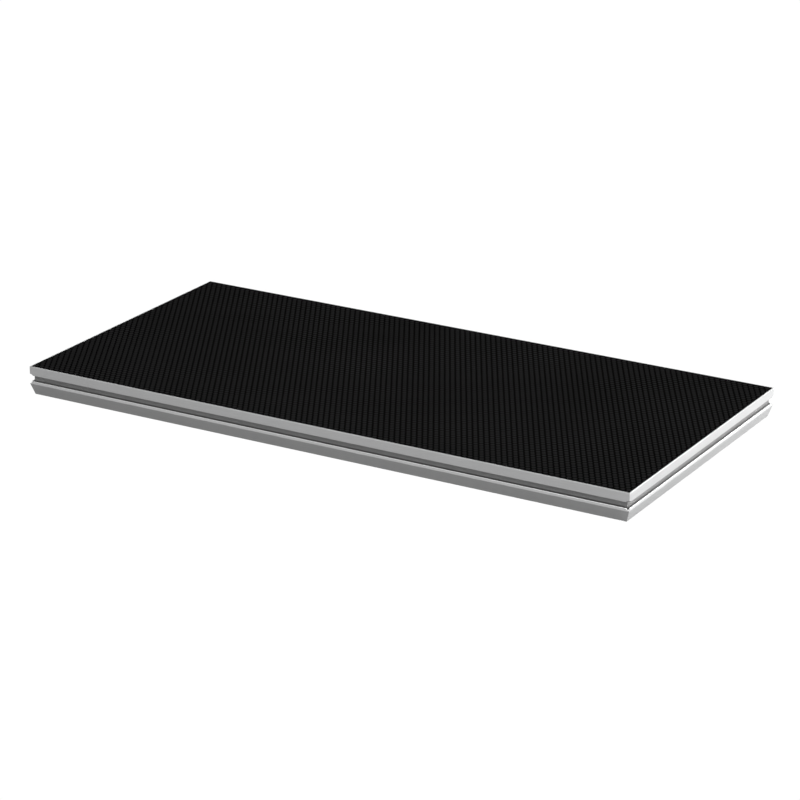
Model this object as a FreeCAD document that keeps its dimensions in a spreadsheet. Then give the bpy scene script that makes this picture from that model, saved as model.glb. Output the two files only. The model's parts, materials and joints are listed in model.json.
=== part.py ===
import FreeCAD, Part
import math
import os
import re
import Sketcher

# A stage deck, 2 m by 1 m: a plywood walking panel in a mitred frame of hollow aluminium rails, on three
# cross members, with a cast leg receiver in each corner. A knob-headed screw clamps each leg.
#
# The frame's origin is at the middle of the underside. X runs along the deck, Y across it, Z up.
# Millimetres throughout.

SIZES = [
    # The whole deck
    ("deck_length", 2000, "outside length of the frame"),
    ("deck_width", 1000, "outside width of the frame"),
    ("deck_height", 90, "underside of the rails to the walking surface"),
    # Edge rail section, measured inward from its outer face and upward from its underside
    ("rail_depth", 32, "outer face to inner wall"),
    ("wall", 3, "ordinary wall of the hollow sections"),
    ("inner_wall", 4, "inner wall, which carries the leg receivers"),
    ("lip_width", 2.5, "top lip that stands beside the deck board"),
    ("ledge_height", 77.5, "top of the ledge under the deck board"),
    ("ledge_thickness", 3, "thickness of the ledge"),
    ("ledge_reach", 50, "outer face to the ledge's free edge"),
    ("band_wall", 3.5, "flat band above the slot"),
    ("slot_top", 61, "upper edge of the slot opening"),
    ("slot_bottom", 42.5, "lower edge of the slot opening"),
    ("slot_roof", 68, "top of the slot behind the band"),
    ("slot_floor", 36, "bottom of the slot behind the lower lip"),
    ("slot_depth", 10, "outer face to the slot's back wall"),
    ("slot_wall", 5, "back wall of the slot"),
    ("lower_lip_setback", 1.2, "outer face to the top of the lower lip"),
    ("lower_lip_inside", 4.2, "outer face to the back of the lower lip"),
    ("ridge_height", 35, "outermost line of the lower lip"),
    ("base_setback", 11, "outer face to the start of the underside"),
    ("toe_wall", 3.2, "sloped wall, measured level"),
    ("lip_radius", 1.5, "rounding of the walking surface's outer edge"),
    ("broad_radius", 1.2, "rounding of the rail's outer corners"),
    ("fine_radius", 0.5, "rounding of the rail's thin lips"),
    ("mitre_gap", 0.1, "pull-back of each mitre, along the rail"),
    ("relief_radius", 14.5, "round relief across both lips at each corner"),
    # Corner cleats, in the rails' main chamber
    ("cleat_reach", 90, "outer corner to the end of each arm"),
    ("cleat_gap", 0.1, "clearance to the chamber's walls"),
    ("cleat_bottom", 6, "underside of the cleat"),
    ("cleat_top", 71, "top of the cleat"),
    # Cross members
    ("member_width", 40, "width of the box section"),
    ("member_height", 60, "height of the box section"),
    ("member_wall", 3, "wall of the box section"),
    ("member_radius", 3, "outside corner of the box section"),
    ("member_spacing", 500, "centre to centre along the deck"),
    ("weld_leg", 4, "leg of the fillet weld at each end"),
    # Deck panel, laid up from the ledge
    ("tape_thickness", 0.5, "bedding tape on the ledge"),
    ("tape_start", 10, "outer face of the rail to the tape"),
    ("tape_width", 20, "width of the tape"),
    ("strip_margin", 1, "end of a support strip to the ledge"),
    ("strip_width", 30, "width of a support strip"),
    ("backing_thickness", 0.3, "film on the board's underside"),
    ("film_thickness", 0.6, "anti-slip film with its raised pattern"),
    ("board_setback", 3.5, "outer face of the rail to the board's edge"),
    ("seal_gap", 0.05, "clearance on each side of the edge seal"),
    ("seal_drop", 0.5, "walking surface to the top of the edge seal"),
    # Deck screws, driven up through the ledge
    ("screw_spacing", 240, "centre to centre"),
    ("screw_inset", 41, "outer face of the rail to the screw"),
    ("screw_radius", 2, "shank"),
    ("screw_hole_radius", 2.5, "hole in the ledge"),
    ("pilot_radius", 2.05, "hole in the board"),
    ("screw_head_radius", 4.7, "pan head"),
    ("screw_head_height", 3, "pan head"),
    ("screw_grip", 12, "head to point"),
    # Leg receivers, measured from the leg's axis
    ("leg_inset", 65, "outer faces of both rails to the leg's axis"),
    ("leg_bore_radius", 24.5, "socket for a 48.3 mm tube"),
    ("leg_tube_radius", 24.15, "the tube itself"),
    ("sleeve_radius", 31.5, "outside of the socket"),
    ("sleeve_bottom", 2, "mouth of the socket above the deck's underside"),
    ("mouth_chamfer", 1, "lead-in of the socket"),
    ("casting_bottom", 3, "underside of plates and lower web"),
    ("casting_top", 74, "top of the casting"),
    ("roof_thickness", 6, "roof of the socket"),
    ("web_thickness", 5, "lower web"),
    ("web_line", 41, "where the webs' free edge crosses each plate's direction"),
    ("plate_thickness", 6, "plates bolted to the rails"),
    ("plate_end", 62, "leg's axis to the end of each plate"),
    ("plate_gap", 0.1, "clearance from plate to rail"),
    ("bolt_offset", 50, "leg's axis to the bolts, along the plate"),
    ("lower_bolt_height", 20, "lower bolt above the deck's underside"),
    ("upper_bolt_height", 56, "upper bolt above the deck's underside"),
    ("bolt_hole_radius", 4.5, "hole in the plate"),
    ("casting_radius", 2, "rounding of the casting's free corners"),
    # M8 bolts and rivet nuts
    ("bolt_radius", 4, "shank"),
    ("bolt_grip", 20, "underside of the head to the point"),
    ("bolt_flange_radius", 8.5, "flange under the head"),
    ("bolt_flange_height", 1.5, "flange under the head"),
    ("bolt_head_flats", 13, "across the flats"),
    ("bolt_head_height", 7, "flange and hexagon together"),
    ("nut_bore_radius", 4.05, "bore of a rivet nut"),
    ("nut_radius", 5.45, "sleeve of a rivet nut"),
    ("nut_gap", 0.05, "rail wall to the upset part"),
    ("nut_hole_radius", 5.5, "hole in the rail's inner wall"),
    ("nut_bulge_radius", 6.8, "upset part behind the wall"),
    ("nut_bulge_length", 3, "upset part behind the wall"),
    ("nut_length", 14, "whole rivet nut"),
    # Leg clamp, on a level axis towards the middle of the deck, measured from the leg's axis
    ("clamp_height", 45, "clamp's axis above the deck's underside"),
    ("boss_radius", 16, "boss on the socket"),
    ("boss_end", 50, "end of the boss"),
    ("guide_radius", 13, "hole that guides the pad"),
    ("guide_end", 33.4, "end of the guide hole"),
    ("insert_radius", 9, "hole for the thread insert"),
    ("insert_gap", 0.02, "clearance round the thread insert"),
    ("insert_flange_radius", 11, "flange of the thread insert"),
    ("insert_flange_length", 1.5, "flange of the thread insert"),
    ("thread_bore_radius", 6.05, "M12 thread in the insert"),
    ("thread_radius", 5.95, "M12 thread of the clamp screw"),
    ("thread_chamfer", 0.95, "run-in of the thread"),
    ("pad_radius", 12.9, "clamp pad"),
    ("pad_back", 33, "flat back of the pad, clamp open"),
    ("pad_floor", 28.8, "floor of the recess in the pad's face"),
    ("pad_recess_radius", 6.2, "recess in the pad's face"),
    ("pad_bore_radius", 3.6, "hole for the screw's journal"),
    ("pad_draw_back", 1.15, "pad's face to the tube, clamp open"),
    ("journal_radius", 3.5, "journal of the screw in the pad"),
    ("journal_start", 26.8, "end of the screw"),
    ("journal_chamfer", 0.5, "end of the screw"),
    ("shoulder", 33.1, "shoulder that pushes the pad"),
    ("groove_start", 27.8, "groove for the retaining clip"),
    ("groove_end", 28.6, "groove for the retaining clip"),
    ("groove_radius", 2.7, "groove for the retaining clip"),
    ("clip_gap", 0.05, "clearance of the clip in its groove"),
    ("clip_radius", 5.5, "outside of the clip"),
    ("clip_mouth", 4.6, "opening of the clip"),
    ("hub_start", 59, "knob's face, clamp open"),
    ("hub_radius", 13, "knob's hub"),
    ("hub_length", 23, "knob's hub"),
    ("star_start", 62.5, "near face of the knob's star"),
    ("star_thickness", 15, "knob's star"),
    ("star_radius", 20, "body of the star between its lobes"),
    ("lobe_radius", 8, "one lobe"),
    ("lobe_offset", 20, "knob's axis to a lobe's centre"),
    ("star_rounding", 2, "edges of the star"),
    ("tang_radius", 5, "screw's end inside the knob"),
    ("tang_gap", 0.02, "clearance of the tang"),
    ("tang_length", 15, "screw's end inside the knob"),
]

# Side signs of each corner along X and Y, and the direction from its leg to the middle of the deck
CORNERS = {
    "front_left": (-1, -1, 45),
    "front_right": (1, -1, 135),
    "rear_right": (1, 1, 225),
    "rear_left": (-1, 1, 315),
}

LONG_RAIL_SCREWS = 8
SHORT_RAIL_SCREWS = 4
KNOB_LOBES = 5
FULL_TURN = 360
PLAN_TURN = -45
CUT_MARGIN = 1
CLOSE = 0.01
COS_30 = math.cos(math.radians(30))
BOLT_HEIGHTS = ("lower_bolt_height", "upper_bolt_height")

NEAR_FACE = "(rail_depth + plate_gap - leg_inset)"
INNER_FACE = "(rail_depth + plate_gap + plate_thickness - leg_inset)"
PANEL_BOTTOM = "(ledge_height + tape_thickness)"
BOARD_BOTTOM = "(ledge_height + tape_thickness + backing_thickness)"
BOARD_TOP = "(deck_height - film_thickness)"
MEMBER_TOP = "(ledge_height - ledge_thickness)"
MEMBER_BOTTOM = "(ledge_height - ledge_thickness - member_height)"

doc = FreeCAD.newDocument("stage_deck")
sheet = doc.addObject("Spreadsheet::Sheet", "sizes")
for row, (alias, number, meaning) in enumerate(SIZES, 1):
    sheet.set(f"A{row}", alias)
    sheet.set(f"B{row}", str(number))
    sheet.set(f"C{row}", meaning)
    sheet.setAlias(f"B{row}", alias)
doc.recompute()

nodes = []


# Formulas ----------------------------------------------------------------------------------------


def value(formula):
    """The number that a formula of sheet names stands for."""
    return float(sheet.evalExpression(str(formula)))


def bind(target, prop, formula):
    """Tie a property to a formula of sheet names."""
    target.setExpression(prop, re.sub(r"[a-z]\w*", r"sizes.\g<0>", formula))


# Sketches ----------------------------------------------------------------------------------------


def new_body(label):
    body = doc.addObject("PartDesign::Body", label)
    body.Label = label
    return body


def origin_plane(body, role):
    return next(item for item in body.Origin.OriginFeatures if item.Role == role)


def sketch_on(body, role, name, level="0", turn=0):
    """A sketch on one of the body's own planes, moved along its normal and turned about the upright."""
    sketch = body.newObject("Sketcher::SketchObject", name)
    upright = FreeCAD.Vector(0, 0, 1) if role == "XY_Plane" else FreeCAD.Vector(0, 1, 0)
    sketch.AttachmentSupport = [(origin_plane(body, role), "")]
    sketch.MapMode = "FlatFace"
    sketch.AttachmentOffset = FreeCAD.Placement(FreeCAD.Vector(), FreeCAD.Rotation(upright, turn))
    if level != "0":
        bind(sketch, "AttachmentOffset.Base.z", level)
    return sketch


def fix(sketch, kind, formula, *points):
    """Add a driving dimension and tie it to the sheet."""
    number = sketch.addConstraint(Sketcher.Constraint(kind, *points, value(formula)))
    if formula != "0":
        bind(sketch, f"Constraints[{number}]", formula)


def add_outline(sketch, corners):
    """A closed outline of straight lines, each corner given as two formulas."""
    first = sketch.GeometryCount
    spots = [FreeCAD.Vector(value(across), value(up), 0) for across, up in corners]
    for start, end in zip(spots, spots[1:] + spots[:1]):
        sketch.addGeometry(Part.LineSegment(start, end))
    for index in range(len(corners)):
        following = first + (index + 1) % len(corners)
        sketch.addConstraint(Sketcher.Constraint("Coincident", first + index, 2, following, 1))
    for index, (across, up) in enumerate(corners):
        fix(sketch, "DistanceX", across, -1, 1, first + index, 1)
        fix(sketch, "DistanceY", up, -1, 1, first + index, 1)


def add_box(sketch, left, bottom, right, top):
    add_outline(sketch, [(left, bottom), (right, bottom), (right, top), (left, top)])


def add_circle(sketch, across, up, radius):
    centre = FreeCAD.Vector(value(across), value(up), 0)
    circle = sketch.addGeometry(Part.Circle(centre, FreeCAD.Vector(0, 0, 1), value(radius)))
    fix(sketch, "DistanceX", across, -1, 1, circle, 3)
    fix(sketch, "DistanceY", up, -1, 1, circle, 3)
    fix(sketch, "Radius", radius, circle)


# Features ----------------------------------------------------------------------------------------


def pad(body, sketch, name, length, side="One side"):
    feature = body.newObject("PartDesign::Pad", name)
    feature.Profile = sketch
    feature.SideType = side
    bind(feature, "Length", length)
    doc.recompute()
    return feature


def pocket(body, sketch, name, length="through", side="One side", forward=False):
    """Cut away from the sketch's normal, or along it when forward, and make sure that it cut."""
    before = body.Shape.Volume
    feature = body.newObject("PartDesign::Pocket", name)
    feature.Profile = sketch
    feature.SideType = side
    feature.Reversed = forward
    if length == "through":
        feature.Type = "ThroughAll"
    else:
        bind(feature, "Length", length)
    doc.recompute()
    if feature.Shape.isNull() or feature.Shape.Volume >= before:
        raise RuntimeError(f"{body.Label}: {name} cut nothing")
    return feature


def revolve(body, sketch):
    feature = body.newObject("PartDesign::Revolution", "turned_shape")
    feature.Profile = sketch
    feature.ReferenceAxis = (sketch, ["H_Axis"])
    feature.Angle = FULL_TURN
    doc.recompute()
    return feature


def edges_where(feature, matches):
    return [f"Edge{number}" for number, edge in enumerate(feature.Shape.Edges, 1) if matches(edge)]


def dress(body, kind, feature, edges, size):
    """Fillet or chamfer the named edges."""
    dressing = body.newObject(f"PartDesign::{kind}", kind.lower())
    dressing.Base = (feature, edges)
    bind(dressing, "Radius" if kind == "Fillet" else "Size", size)
    doc.recompute()
    return dressing


def long_edges(feature, spots):
    """Edges along X that pass through the given Y and Z places."""
    places = [(value(across), value(up)) for across, up in spots]

    def matches(edge):
        start, end = edge.Vertexes[0].Point, edge.Vertexes[-1].Point
        along = abs(end.x - start.x) > value("rail_depth")
        return along and any(abs(start.y - y) + abs(start.z - z) < CLOSE for y, z in places)

    return edges_where(feature, matches)


# Placing -----------------------------------------------------------------------------------------


def place(target, across="0", along="0", up="0", angle=0):
    turn = FreeCAD.Rotation(FreeCAD.Vector(0, 0, 1), angle)
    target.Placement = FreeCAD.Placement(FreeCAD.Vector(), turn)
    for axis, formula in zip("xyz", (across, along, up)):
        bind(target, f"Placement.Base.{axis}", formula)


def place_at_corner(target, corner, up="0"):
    """Origin on the leg's axis, X towards the middle of the deck."""
    side_x, side_y, angle = CORNERS[corner]
    across = f"{side_x} * (deck_length / 2 - leg_inset)"
    along = f"{side_y} * (deck_width / 2 - leg_inset)"
    place(target, across, along, up, angle)


def keep(target):
    nodes.append(target)


def group(label, pattern, places):
    """Separate copies of one piece, kept as one node; each place is (placing function, its arguments)."""
    copies = []
    for place_copy, arguments in places:
        copy = doc.addObject("App::Link", f"{label}_copy")
        copy.LinkedObject = pattern
        place_copy(copy, *arguments)
        copies.append(copy)
    compound = doc.addObject("Part::Compound", label)
    compound.Label = label
    compound.Links = copies
    keep(compound)


# Edge rails --------------------------------------------------------------------------------------


def spread(count):
    """Places either side of the middle, as multiples of the spacing."""
    return [index - (count - 1) / 2 for index in range(count)]


def draw_rail_section(section):
    add_outline(section, [
        ("0", "deck_height"),
        ("lip_width", "deck_height"),
        ("lip_width", "ledge_height"),
        ("ledge_reach", "ledge_height"),
        ("ledge_reach", MEMBER_TOP),
        ("rail_depth", MEMBER_TOP),
        ("rail_depth", "0"),
        ("base_setback", "0"),
        ("0", "ridge_height"),
        ("lower_lip_setback", "slot_bottom"),
        ("lower_lip_inside", "slot_bottom"),
        ("lower_lip_inside", "slot_floor"),
        ("slot_depth", "slot_floor"),
        ("slot_depth", "slot_roof"),
        ("band_wall", "slot_roof"),
        ("band_wall", "slot_top"),
        ("0", "slot_top"),
    ])
    # Main chamber, small chamber over the slot, and the three-cornered one in the sloped toe
    add_box(section, "slot_depth + slot_wall", "wall", "rail_depth - inner_wall", MEMBER_TOP)
    add_box(section, "band_wall", "slot_roof + inner_wall", "slot_depth", MEMBER_TOP)
    toe_top = "(slot_floor - wall)"
    toe_back = "(slot_depth + slot_wall - wall)"
    add_outline(section, [
        (f"toe_wall + (ridge_height - {toe_top}) * base_setback / ridge_height", toe_top),
        (toe_back, toe_top),
        (toe_back, f"ridge_height - ({toe_back} - toe_wall) * ridge_height / base_setback"),
    ])


def make_rail(label, length, screws, across, along, angle):
    """A rail lies along X, with its outer face on Y = 0 and the deck on the +Y side."""
    body = new_body(label)
    section = sketch_on(body, "YZ_Plane", "section")
    draw_rail_section(section)
    bar = pad(body, section, "bar", length, "Symmetric")

    broad = [("0", "slot_top"), ("lower_lip_setback", "slot_bottom"), ("0", "ridge_height"),
             ("base_setback", "0"), ("rail_depth", "0")]
    fine = [("lip_width", "deck_height"), ("ledge_reach", "ledge_height"), ("ledge_reach", MEMBER_TOP),
            ("lower_lip_inside", "slot_bottom"), ("band_wall", "slot_top")]
    lipped = dress(body, "Fillet", bar, long_edges(bar, [("0", "deck_height")]), "lip_radius")
    rounded = dress(body, "Fillet", lipped, long_edges(lipped, broad), "broad_radius")
    dress(body, "Fillet", rounded, long_edges(rounded, fine), "fine_radius")

    waste = sketch_on(body, "XY_Plane", "mitre_waste")
    beyond_ledge = f"(ledge_reach + {CUT_MARGIN})"
    for side in ("", "-"):
        add_outline(waste, [
            (f"{side}({length} / 2 - mitre_gap + {CUT_MARGIN})", f"-{CUT_MARGIN}"),
            (f"{side}({length} / 2 + {CUT_MARGIN})", f"-{CUT_MARGIN}"),
            (f"{side}({length} / 2 + {CUT_MARGIN})", beyond_ledge),
            (f"{side}({length} / 2 - mitre_gap - {beyond_ledge})", beyond_ledge),
        ])
    pocket(body, waste, "mitres", side="Symmetric")

    relief = sketch_on(body, "XZ_Plane", "corner_relief")
    for side in ("", "-"):
        add_circle(relief, f"{side}{length} / 2", "(slot_top + slot_bottom) / 2", "relief_radius")
    pocket(body, relief, "corner_reliefs", "lower_lip_inside")

    # Drilled outward from the main chamber, so that only the inner wall is cut
    nut_holes = sketch_on(body, "XZ_Plane", "nut_holes", level="-(slot_depth + rail_depth) / 2")
    for side in ("", "-"):
        along_rail = f"{side}({length} / 2 - leg_inset - bolt_offset)"
        for height in BOLT_HEIGHTS:
            add_circle(nut_holes, along_rail, height, "nut_hole_radius")
    pocket(body, nut_holes, "rivet_nut_holes")

    screw_holes = sketch_on(body, "XY_Plane", "screw_holes")
    for step in spread(screws):
        add_circle(screw_holes, f"{step} * screw_spacing", "screw_inset", "screw_hole_radius")
    pocket(body, screw_holes, "deck_screw_holes", side="Symmetric")

    place(body, across, along, "0", angle)
    keep(body)


def make_rails():
    make_rail("rail_front", "deck_length", LONG_RAIL_SCREWS, "0", "-deck_width / 2", 0)
    make_rail("rail_rear", "deck_length", LONG_RAIL_SCREWS, "0", "deck_width / 2", 180)
    make_rail("rail_left", "deck_width", SHORT_RAIL_SCREWS, "-deck_length / 2", "0", -90)
    make_rail("rail_right", "deck_width", SHORT_RAIL_SCREWS, "deck_length / 2", "0", 90)


def make_corner_cleat(corner):
    """An angle of hollow section that holds a mitre together from inside the main chambers."""
    body = new_body(f"corner_cleat_{corner}")
    outer = "(slot_depth + slot_wall + cleat_gap - leg_inset)"
    inner = "(rail_depth - inner_wall - cleat_gap - leg_inset)"
    end = "(cleat_reach - leg_inset)"
    plan = sketch_on(body, "XY_Plane", "plan", level="cleat_bottom", turn=PLAN_TURN)
    add_outline(plan, [
        (outer, outer), (end, outer), (end, inner), (inner, inner), (inner, end), (outer, end),
    ])
    hollow_start = f"({inner} + wall)"
    hollow_end = f"({end} - wall)"
    add_box(plan, hollow_start, f"{outer} + wall", hollow_end, f"{inner} - wall")
    add_box(plan, f"{outer} + wall", hollow_start, f"{inner} - wall", hollow_end)
    pad(body, plan, "angle", "cleat_top - cleat_bottom")
    place_at_corner(body, corner)
    keep(body)


# Cross members -----------------------------------------------------------------------------------


def make_cross_member(label, along_deck):
    body = new_body(label)
    section = sketch_on(body, "XZ_Plane", "section")
    add_box(section, "-member_width / 2", MEMBER_BOTTOM, "member_width / 2", MEMBER_TOP)
    add_box(section, "member_wall - member_width / 2", f"{MEMBER_BOTTOM} + member_wall",
            "member_width / 2 - member_wall", f"{MEMBER_TOP} - member_wall")
    tube = pad(body, section, "tube", "deck_width - 2 * rail_depth", "Symmetric")
    half_width = value("member_width / 2")
    levels = (value(MEMBER_BOTTOM), value(MEMBER_TOP))

    def is_outer_corner(edge):
        start, end = edge.Vertexes[0].Point, edge.Vertexes[-1].Point
        lengthwise = abs(end.y - start.y) > value("member_height")
        on_side = abs(abs(start.x) - half_width) < CLOSE
        return lengthwise and on_side and min(abs(start.z - level) for level in levels) < CLOSE

    dress(body, "Fillet", tube, edges_where(tube, is_outer_corner), "member_radius")
    place(body, along_deck)
    keep(body)


def make_support_strip(label, along_deck):
    """Elastic strip between a cross member and the panel, stopping short of the rails' ledges."""
    strip = doc.addObject("Part::Box", label)
    strip.Label = label
    bind(strip, "Length", "strip_width")
    bind(strip, "Width", "deck_width - 2 * (ledge_reach + strip_margin)")
    bind(strip, "Height", f"{PANEL_BOTTOM} - {MEMBER_TOP}")
    front_end = "ledge_reach + strip_margin - deck_width / 2"
    place(strip, f"{along_deck} - strip_width / 2", front_end, MEMBER_TOP)
    keep(strip)


def make_frame_welds():
    """A fillet weld round three sides of each member's end; the fourth side is under the ledge."""
    body = new_body("weld_pattern")
    root = sketch_on(body, "XZ_Plane", "weld_on_rail")
    add_box(root, "-member_width / 2 - weld_leg", f"{MEMBER_BOTTOM} - weld_leg",
            "member_width / 2 + weld_leg", MEMBER_TOP)
    toe = sketch_on(body, "XZ_Plane", "weld_on_member", level="-weld_leg")
    add_box(toe, "-member_width / 2", MEMBER_BOTTOM, "member_width / 2", MEMBER_TOP)
    bead = body.newObject("PartDesign::AdditiveLoft", "bead")
    bead.Profile = root
    bead.Sections = [toe]
    doc.recompute()
    tube = sketch_on(body, "XZ_Plane", "member_outline")
    add_box(tube, "-member_width / 2", MEMBER_BOTTOM, "member_width / 2", f"{MEMBER_TOP} + {CUT_MARGIN}")
    pocket(body, tube, "room_for_member")
    places = []
    for step in (-1, 0, 1):
        middle = f"{step} * member_spacing"
        places.append((place, (middle, "rail_depth - deck_width / 2", "0", 0)))
        places.append((place, (middle, "deck_width / 2 - rail_depth", "0", 180)))
    group("frame_welds", body, places)


def make_cross_structure():
    for name, step in (("left", -1), ("centre", 0), ("right", 1)):
        middle = f"{step} * member_spacing"
        make_cross_member(f"cross_member_{name}", middle)
        make_support_strip(f"support_strip_{name}", middle)
    make_frame_welds()


# Deck panel --------------------------------------------------------------------------------------


def add_plan(sketch, setback):
    """A rectangle that keeps the same distance from all four outer faces."""
    add_box(sketch, f"{setback} - deck_length / 2", f"{setback} - deck_width / 2",
            f"deck_length / 2 - {setback}", f"deck_width / 2 - {setback}")


def deck_screw_spots():
    """Places of the deck screws, which follow the ledges of all four rails."""
    spots = []
    for step in spread(LONG_RAIL_SCREWS):
        spots.append((f"{step} * screw_spacing", "screw_inset - deck_width / 2"))
        spots.append((f"{step} * screw_spacing", "deck_width / 2 - screw_inset"))
    for step in spread(SHORT_RAIL_SCREWS):
        spots.append(("screw_inset - deck_length / 2", f"{step} * screw_spacing"))
        spots.append(("deck_length / 2 - screw_inset", f"{step} * screw_spacing"))
    return spots


def make_layer(label, setback, bottom, thickness):
    body = new_body(label)
    plan = sketch_on(body, "XY_Plane", "plan", level=bottom)
    add_plan(plan, setback)
    pad(body, plan, "layer", thickness)
    keep(body)
    return body


def make_ring(label, outside, inside, bottom, thickness):
    body = new_body(label)
    plan = sketch_on(body, "XY_Plane", "plan", level=bottom)
    add_plan(plan, outside)
    add_plan(plan, inside)
    pad(body, plan, "ring", thickness)
    keep(body)


def make_panel():
    make_layer("grip_film", "board_setback", BOARD_TOP, "film_thickness")
    board = make_layer("deck_board", "board_setback", BOARD_BOTTOM, f"{BOARD_TOP} - {BOARD_BOTTOM}")
    pilots = sketch_on(board, "XY_Plane", "pilots", level=BOARD_BOTTOM)
    backing = make_layer("backing_film", "board_setback", PANEL_BOTTOM, "backing_thickness")
    holes = sketch_on(backing, "XY_Plane", "screw_holes", level=PANEL_BOTTOM)
    for across, along in deck_screw_spots():
        add_circle(pilots, across, along, "pilot_radius")
        add_circle(holes, across, along, "screw_hole_radius")
    pocket(board, pilots, "pilot_holes", "screw_grip - ledge_thickness", forward=True)
    pocket(backing, holes, "clearance_holes", side="Symmetric")
    make_ring("bedding_tape", "tape_start", "(tape_start + tape_width)", "ledge_height",
              "tape_thickness")
    make_ring("edge_seal", "(lip_width + seal_gap)", "(board_setback - seal_gap)", PANEL_BOTTOM,
              f"deck_height - seal_drop - {PANEL_BOTTOM}")


def make_deck_screws():
    """Pan-head screws, drawn lying along X and stood upright by the copies."""
    body = new_body("deck_screw_pattern")
    profile = sketch_on(body, "XZ_Plane", "profile")
    point = "(screw_grip - screw_radius)"
    add_outline(profile, [
        ("-screw_head_height", "0"),
        ("-screw_head_height", "screw_head_radius / 2"),
        ("-screw_head_height / 2", "screw_head_radius"),
        ("0", "screw_head_radius"),
        ("0", "screw_radius"),
        (point, "screw_radius"),
        ("screw_grip", "0"),
    ])
    revolve(body, profile)
    upright = FreeCAD.Rotation(FreeCAD.Vector(0, 1, 0), -90)

    def stand(copy, across, along):
        place(copy, across, along, MEMBER_TOP)
        copy.Placement = FreeCAD.Placement(copy.Placement.Base, upright)

    group("deck_screws", body, [(stand, spot) for spot in deck_screw_spots()])


# Leg receivers -----------------------------------------------------------------------------------


def make_leg_receiver(corner):
    """A casting with a socket for the leg, two plates bolted to the rails and a boss for the clamp."""
    body = new_body(f"leg_receiver_{corner}")
    plan = sketch_on(body, "XY_Plane", "plates_plan", level="casting_bottom", turn=PLAN_TURN)
    add_outline(plan, [
        (NEAR_FACE, NEAR_FACE),
        ("plate_end", NEAR_FACE),
        ("plate_end", INNER_FACE),
        (INNER_FACE, INNER_FACE),
        (INNER_FACE, "plate_end"),
        (NEAR_FACE, "plate_end"),
    ])
    pad(body, plan, "plates", "casting_top - casting_bottom")

    webs = [
        ("lower_web", "casting_bottom", "web_thickness"),
        ("roof_web", "(casting_top - roof_thickness)", "roof_thickness"),
    ]
    for name, bottom, thickness in webs:
        web = sketch_on(body, "XY_Plane", f"{name}_plan", level=bottom, turn=PLAN_TURN)
        add_outline(web, [
            (NEAR_FACE, NEAR_FACE),
            ("plate_end", NEAR_FACE),
            ("plate_end", "web_line - plate_end"),
            ("web_line - plate_end", "plate_end"),
            (NEAR_FACE, "plate_end"),
        ])
        pad(body, web, name, thickness)

    sleeve = sketch_on(body, "XY_Plane", "sleeve_plan", level="sleeve_bottom")
    add_circle(sleeve, "0", "0", "sleeve_radius")
    pad(body, sleeve, "sleeve", "casting_top - sleeve_bottom")
    boss = sketch_on(body, "YZ_Plane", "boss_section")
    add_circle(boss, "0", "clamp_height", "boss_radius")
    pad(body, boss, "boss", "boss_end")

    bore = sketch_on(body, "XY_Plane", "bore_plan", level="(casting_top - roof_thickness)")
    add_circle(bore, "0", "0", "leg_bore_radius")
    pocket(body, bore, "leg_socket")
    guide = sketch_on(body, "YZ_Plane", "guide_section")
    add_circle(guide, "0", "clamp_height", "guide_radius")
    pocket(body, guide, "pad_guide", "guide_end", forward=True)
    insert = sketch_on(body, "YZ_Plane", "insert_section")
    add_circle(insert, "0", "clamp_height", "insert_radius")
    pocket(body, insert, "insert_hole", forward=True)

    bolts = sketch_on(body, "XZ_Plane", "bolt_holes_plan", turn=PLAN_TURN)
    for height in BOLT_HEIGHTS:
        add_circle(bolts, "bolt_offset", height, "bolt_hole_radius")
    bolt_holes = pocket(body, bolts, "bolt_holes", side="Symmetric")
    mirrored = body.newObject("PartDesign::Mirrored", "bolt_holes_other_plate")
    mirrored.Originals = [bolt_holes]
    mirrored.MirrorPlane = (origin_plane(body, "XZ_Plane"), [""])
    body.Tip = mirrored
    doc.recompute()

    mouth_level = value("sleeve_bottom")
    mouth_radius = value("leg_bore_radius")
    plate_end = value("plate_end")
    outer_lines = (value(NEAR_FACE), value("web_line - plate_end"))

    def is_mouth(edge):
        if not isinstance(edge.Curve, Part.Circle):
            return False
        same_radius = abs(edge.Curve.Radius - mouth_radius) < CLOSE
        return same_radius and abs(edge.Curve.Center.z - mouth_level) < CLOSE

    def is_free_corner(edge):
        """Upright edges at the plates' ends, on the rail side and on the webs' open side."""
        box = edge.BoundBox
        upright = box.XLength < CLOSE and box.YLength < CLOSE
        along_plate = (box.Center.x + abs(box.Center.y)) / math.sqrt(2)
        across_plate = (box.Center.x - abs(box.Center.y)) / math.sqrt(2)
        at_end = abs(along_plate - plate_end) < CLOSE
        return upright and at_end and min(abs(across_plate - line) for line in outer_lines) < CLOSE

    mouth = dress(body, "Chamfer", mirrored, edges_where(mirrored, is_mouth), "mouth_chamfer")
    dress(body, "Fillet", mouth, edges_where(mouth, is_free_corner), "casting_radius")
    place_at_corner(body, corner)
    keep(body)


def bolt_places():
    """Placing of the bolts and nuts: both heights in each corner's two plates, X pointing inward."""
    places = []
    reach = "(leg_inset + bolt_offset)"
    for side_x, side_y, _ in CORNERS.values():
        for height in BOLT_HEIGHTS:
            in_long_rail = (f"{side_x} * (deck_length / 2 - {reach})", f"{side_y} * deck_width / 2",
                            height, -90 * side_y)
            in_short_rail = (f"{side_x} * deck_length / 2", f"{side_y} * (deck_width / 2 - {reach})",
                             height, 90 + 90 * side_x)
            places.append((place, in_long_rail))
            places.append((place, in_short_rail))
    return places


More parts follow.
